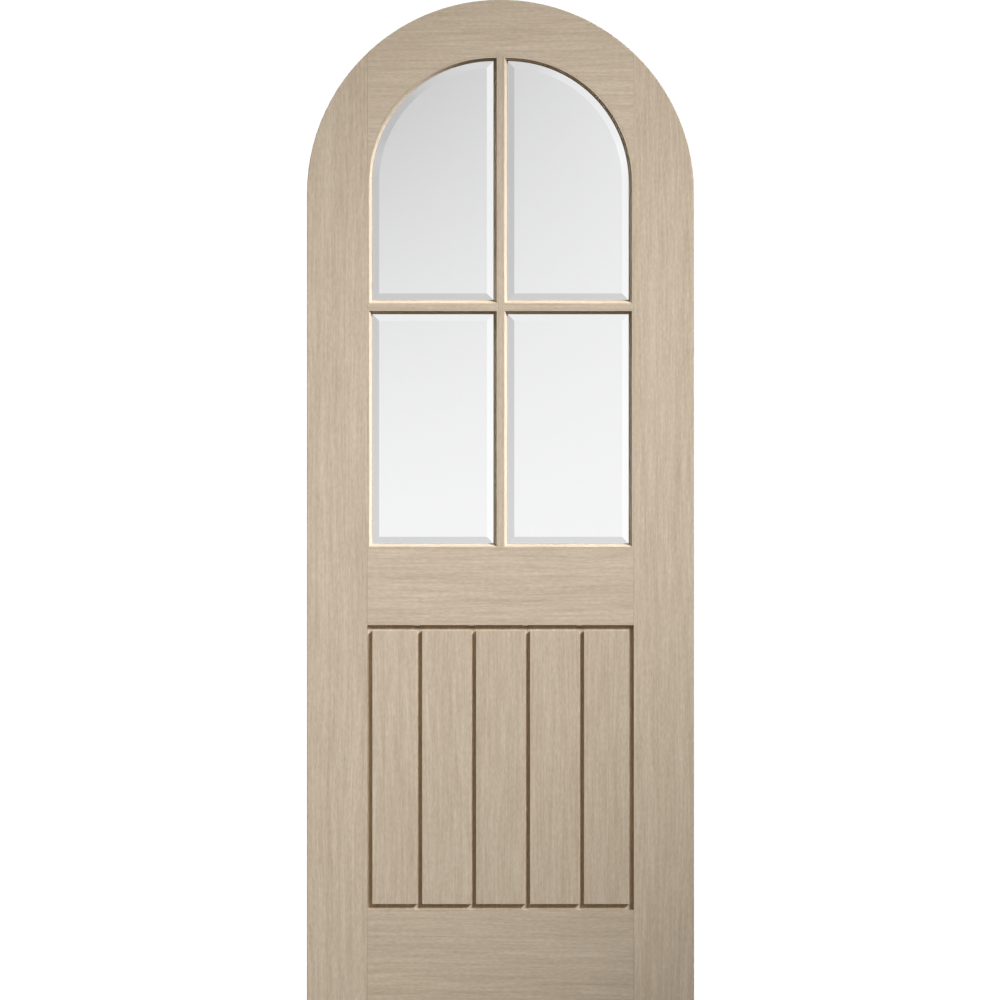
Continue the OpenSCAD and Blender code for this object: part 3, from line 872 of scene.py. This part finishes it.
def beech_material(name):
    """Pale beech, with its grain along X and short flecks."""
    material, tree, shader = new_material(name)
    place = own_place(tree)
    fibre = noise(tree, scaled(tree, place, (14, 600, 600)), detail=4, roughness=0.65)
    fleck = stretch(tree, noise(tree, scaled(tree, place, (90, 700, 700)), detail=1), 0.62, 0.72)
    colour = ramp(tree, fibre, (0.35, (0.62, 0.42, 0.25)), (0.65, (0.76, 0.56, 0.37)))
    colour = blend_colours(tree, calc(tree, "MULTIPLY", fleck, 0.3), colour, rgb(0.45, 0.27, 0.15))
    feed(tree, shader.inputs["Base Color"], colour)
    feed(tree, shader.inputs["Roughness"], stretch(tree, fibre, 0.3, 0.7, 0.5, 0.7))
    emboss(tree, shader, fibre, 0.3, 0.0002)
    return material


beech = beech_material("beech_dowel")
HIDDEN_FINISHES = {
    "seal_": compound("glazing_compound", (0.42, 0.37, 0.31), 900, 0.75),
    "glass_setting_blocks": compound("setting_block", (0.10, 0.10, 0.11), 1500, 0.60),
    "head_rail_dowels": beech,
    "lock_rail_dowels": beech,
    "bottom_rail_dowels": beech,
}
for prefix, material in HIDDEN_FINISHES.items():
    matching = [node for name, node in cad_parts.items() if name.startswith(prefix)]
    for node in matching:
        for slot in node.material_slots:
            slot.material = material
    print(material.name, "on", len(matching), "nodes that start with", prefix)

# %% [markdown]
# ## Floor
#
# The leaf stands on a plain pale floor in an even white studio. The studio glows where it is looked at,
# straight or through the glass, and is dim for light that the wood has scattered. So the room looks white
# and still doesn't fill the mouldings' shadows.

# %% Floor
FLOOR_REACH = 7.0
FLOOR_GLOW = 0.70


def stage_plane(name, corners, material):
    """A flat sheet through four corners, that isn't part of the door."""
    mesh = bpy.data.meshes.new(name)
    mesh.from_pydata(corners, [], [range(len(corners))])
    mesh.materials.append(material)
    sheet = new_object(name, mesh)
    return sheet


def looked_at(tree):
    """1 on a path that no matt surface has scattered yet, and otherwise 0."""
    path = add(tree, "ShaderNodeLightPath")
    return calc(tree, "LESS_THAN", path.outputs["Diffuse Depth"], 0.5)


def floor_material(name):
    """A pale, matt, faintly patchy floor."""
    material, tree, shader = new_material(name)
    patch = noise(tree, own_place(tree), scale=3.0, detail=3)
    pale_grey = ramp(tree, patch, (0.3, (0.28, 0.28, 0.276)), (0.7, (0.30, 0.30, 0.296)))
    feed(tree, shader.inputs["Base Color"], pale_grey)
    shader.inputs["Roughness"].default_value = 0.8
    shader.inputs["Emission Color"].default_value = rgb(1, 1, 0.99)
    feed(tree, shader.inputs["Emission Strength"], calc(tree, "MULTIPLY", looked_at(tree), FLOOR_GLOW))
    return material


floor_corners = [(x * FLOOR_REACH, y * FLOOR_REACH, 0) for x, y in ((-1, -1), (1, -1), (1, 1), (-1, 1))]
floor = stage_plane("floor", floor_corners, floor_material("studio_floor"))
floor.visible_diffuse = False
floor.visible_glossy = False
print("floor", 2 * FLOOR_REACH, "m square")

# %% [markdown]
# ## The graded backdrop
#
# Clear glass only shows what stands behind it, so its body comes from a graded card, far behind the leaf
# and seen through glass alone. A pane looks at the card's middle, which darkens upwards and most of all
# towards one upper corner. A bevel bends the view by about four degrees, which at this distance is more
# than a metre. So each kind of bevel looks at a region of its own: one side of the card is dark, the other
# is pale, and its upper part, the ceiling, is dark too. A low dip in the shade stands in for a horizon.
#
# A grade below is written as four numbers: from one height to another, from one shade to another.

# %% Shades of the backdrop
BACKDROP_Y = 20.0
PANES_END = 0.3                                # the panes end before this, on either side
BEHIND_PANES = 0.92
LOW_GRADE = (-0.25, 0.90, 0.94, 1.0)           # a little darker towards the floor
FADE_FROM = 0.85                               # above this height the card darkens upwards
FADE, FADE_POWER = 0.317, 1.5
FADE_MIDDLE, FADE_SLANT = 0.85, -1.25          # the fade's share in the middle, and its change a metre
HORIZON, HORIZON_REACH, HORIZON_DIP = 0.30, 0.30, 0.24      # the dip's height, half height and depth
CEILING_BLEND = (2.0, 2.3)
CEILING_GRADE = (2.48, 2.96, 0.675, 0.605)
CEILING_SLANT = 0.11
DARK_BLEND, FAR_DARK_BLEND = (0.27, 0.93), (1.22, 1.30)
NEAR_DARK = 0.50
FAR_DARK_GRADE = (0.95, 1.65, 0.655, 0.52)
PALE_BLEND, FAR_PALE_BLEND = (-0.27, -0.60), (-1.22, -1.30)
NEAR_PALE_GRADE = (0.30, 1.20, 0.78, 0.89)
FAR_PALE_GRADE = (1.15, 1.65, 0.99, 0.87)


def shade_behind_panes(tree, near_middle, up):
    """The middle of the backdrop, from the floor up to its ceiling."""
    above = calc(tree, "MAXIMUM", calc(tree, "SUBTRACT", up, FADE_FROM), 0.0)
    fade = calc(tree, "MULTIPLY", calc(tree, "POWER", above, FADE_POWER), FADE)
    slant = calc(tree, "MULTIPLY_ADD", near_middle, FADE_SLANT, FADE_MIDDLE)
    shade = calc(tree, "SUBTRACT", BEHIND_PANES, calc(tree, "MULTIPLY", fade, slant))
    off = calc(tree, "DIVIDE", calc(tree, "SUBTRACT", up, HORIZON), HORIZON_REACH)
    horizon = calc(tree, "EXPONENT", calc(tree, "MULTIPLY", calc(tree, "MULTIPLY", off, off), -1.0))
    shade = calc(tree, "MULTIPLY", shade, calc(tree, "MULTIPLY_ADD", horizon, -HORIZON_DIP, 1.0))
    shade = calc(tree, "MULTIPLY", shade, stretch(tree, up, *LOW_GRADE))
    ceiling = calc(tree, "MULTIPLY_ADD", near_middle, CEILING_SLANT, stretch(tree, up, *CEILING_GRADE))
    return between(tree, stretch(tree, up, *CEILING_BLEND), shade, ceiling)


def backdrop_shade(tree):
    """The shade of every point of the backdrop, from 0 to 1."""
    spot = add(tree, "ShaderNodeSeparateXYZ", {0: own_place(tree)})
    across, up = spot.outputs["X"], spot.outputs["Z"]
    near_middle = calc(tree, "MINIMUM", calc(tree, "MAXIMUM", across, -PANES_END), PANES_END)
    shade = shade_behind_panes(tree, near_middle, up)
    dark = between(tree, stretch(tree, across, *FAR_DARK_BLEND),
                   NEAR_DARK, stretch(tree, up, *FAR_DARK_GRADE))
    pale = between(tree, stretch(tree, across, *FAR_PALE_BLEND),
                   stretch(tree, up, *NEAR_PALE_GRADE), stretch(tree, up, *FAR_PALE_GRADE))
    shade = between(tree, stretch(tree, across, *DARK_BLEND), shade, dark)
    return between(tree, stretch(tree, across, *PALE_BLEND), shade, pale)


print("the backdrop stands", BACKDROP_Y, "m behind the leaf")

# %% Backdrop
GLASS_PASSES = 0.775                           # share of the light that a pane lets through
CARD_X, CARD_LOW, CARD_HIGH = 3, -1, 4
backdrop_paint = bpy.data.materials.new("graded_backdrop")
backdrop_paint.use_nodes = True
backdrop_tree = backdrop_paint.node_tree
backdrop_tree.nodes.clear()
glow_shade = calc(backdrop_tree, "MULTIPLY", backdrop_shade(backdrop_tree), looked_at(backdrop_tree))
glow_strength = calc(backdrop_tree, "DIVIDE", glow_shade, GLASS_PASSES)
glow = add(backdrop_tree, "ShaderNodeEmission", {"Strength": glow_strength})
add(backdrop_tree, "ShaderNodeOutputMaterial", {"Surface": glow.outputs[0]})
card_corners = [(-CARD_X, BACKDROP_Y, CARD_LOW), (CARD_X, BACKDROP_Y, CARD_LOW),
                (CARD_X, BACKDROP_Y, CARD_HIGH), (-CARD_X, BACKDROP_Y, CARD_HIGH)]
backdrop = stage_plane("backdrop", card_corners, backdrop_paint)
for kind in ("camera", "diffuse", "glossy", "shadow", "volume_scatter"):
    setattr(backdrop, f"visible_{kind}", False)
print("backdrop tree has", len(backdrop_tree.nodes), "nodes")

# %% [markdown]
# ## World
#
# The world does two jobs. Looked at straight or through glass it is plain white. To the wood it is a dim,
# warm light from all sides, as if thrown back by other pale timber, and it only lifts the shadows.

# %% World
AMBIENT = 0.145                                # world light that falls on the wood
AMBIENT_TINT = (1.0, 0.87, 0.69)
WHITE = 1.06                                   # world where it is looked at
world = bpy.data.worlds.new("white_studio")
bpy.context.scene.world = world
world.use_nodes = True
world_tree = world.node_tree
background = world_tree.nodes["Background"]
ray = add(world_tree, "ShaderNodeLightPath")
seen = calc(world_tree, "MAXIMUM", ray.outputs["Is Camera Ray"], ray.outputs["Is Transmission Ray"])
direct = calc(world_tree, "MULTIPLY", seen, looked_at(world_tree))
strength = calc(world_tree, "MULTIPLY_ADD", direct, WHITE - AMBIENT, AMBIENT)
feed(world_tree, background.inputs["Strength"], strength)
world_colour = blend_colours(world_tree, direct, rgb(*AMBIENT_TINT), rgb(1, 1, 1))
feed(world_tree, background.inputs["Color"], world_colour)
print("world tree has", len(world_tree.nodes), "nodes")

# %% [markdown]
# ## Lights
#
# One strong, soft lamp stands in front of the leaf, above it and to its right, and rakes across the face at
# a low angle. That is what gives a moulding its bright and dark sides. Its beam is narrow with a soft
# border, so the leaf is brightest half way up and fades towards the crown and the foot. A second lamp is
# the same one turned half round the leaf, for the back. Neither is seen through the glass, where its small
# image would leave bright specks.

# %% Lamps
LAMP_PLACE = (4.93, -2.94, 5.01)
LAMP_AIM = (-1.94, 0.0, -0.33)
LAMP_POWER = 4860
LAMP_RADIUS = 0.60
LAMP_CONE = math.radians(29.4)
LAMP_COLOUR = (0.965, 1.0, 1.05)               # slightly cool daylight


def lamp(name, side):
    """A soft spot light: side 1 lights the front, and -1 is the same lamp turned half round the leaf."""
    place = Vector((LAMP_PLACE[0] * side, LAMP_PLACE[1] * side, LAMP_PLACE[2]))
    aim = Vector((LAMP_AIM[0] * side, LAMP_AIM[1] * side, LAMP_AIM[2]))
    data = bpy.data.lights.new(name, "SPOT")
    data.energy = LAMP_POWER
    data.shadow_soft_size = LAMP_RADIUS
    data.spot_size = LAMP_CONE
    data.spot_blend = 1.0
    data.color = LAMP_COLOUR
    holder = new_object(name, data)
    holder.visible_transmission = False
    holder.location = place
    holder.rotation_euler = (aim - place).to_track_quat("-Z", "Y").to_euler()
    return holder


lamps = [lamp("key", 1), lamp("back_key", -1)]
print(len(lamps), "lamps of", LAMP_POWER, "W")

# %% [markdown]
# ## Camera
#
# The camera looks straight at the leaf without perspective, as in an elevation drawing, so upright edges
# stay upright and no reveal shows more than its opposite. The picture crops a hair of the crown and the
# last few millimetres of the foot.

# %% Camera
VIEW_WIDTH = 1.968
CROWN_CROP = 0.0006
EYE_X, EYE_Y = -0.0011, -3.0
camera = bpy.data.cameras.new("camera")
camera.type = "ORTHO"
camera.ortho_scale = VIEW_WIDTH
eye = new_object("camera", camera)
eye.location = (EYE_X, EYE_Y, cad_high.z - CROWN_CROP - VIEW_WIDTH / 2)
eye.rotation_euler = (math.pi / 2, 0, 0)
bpy.context.scene.camera = eye
bpy.context.scene.view_settings.view_transform = "Standard"
print("the picture is", VIEW_WIDTH, "m wide")
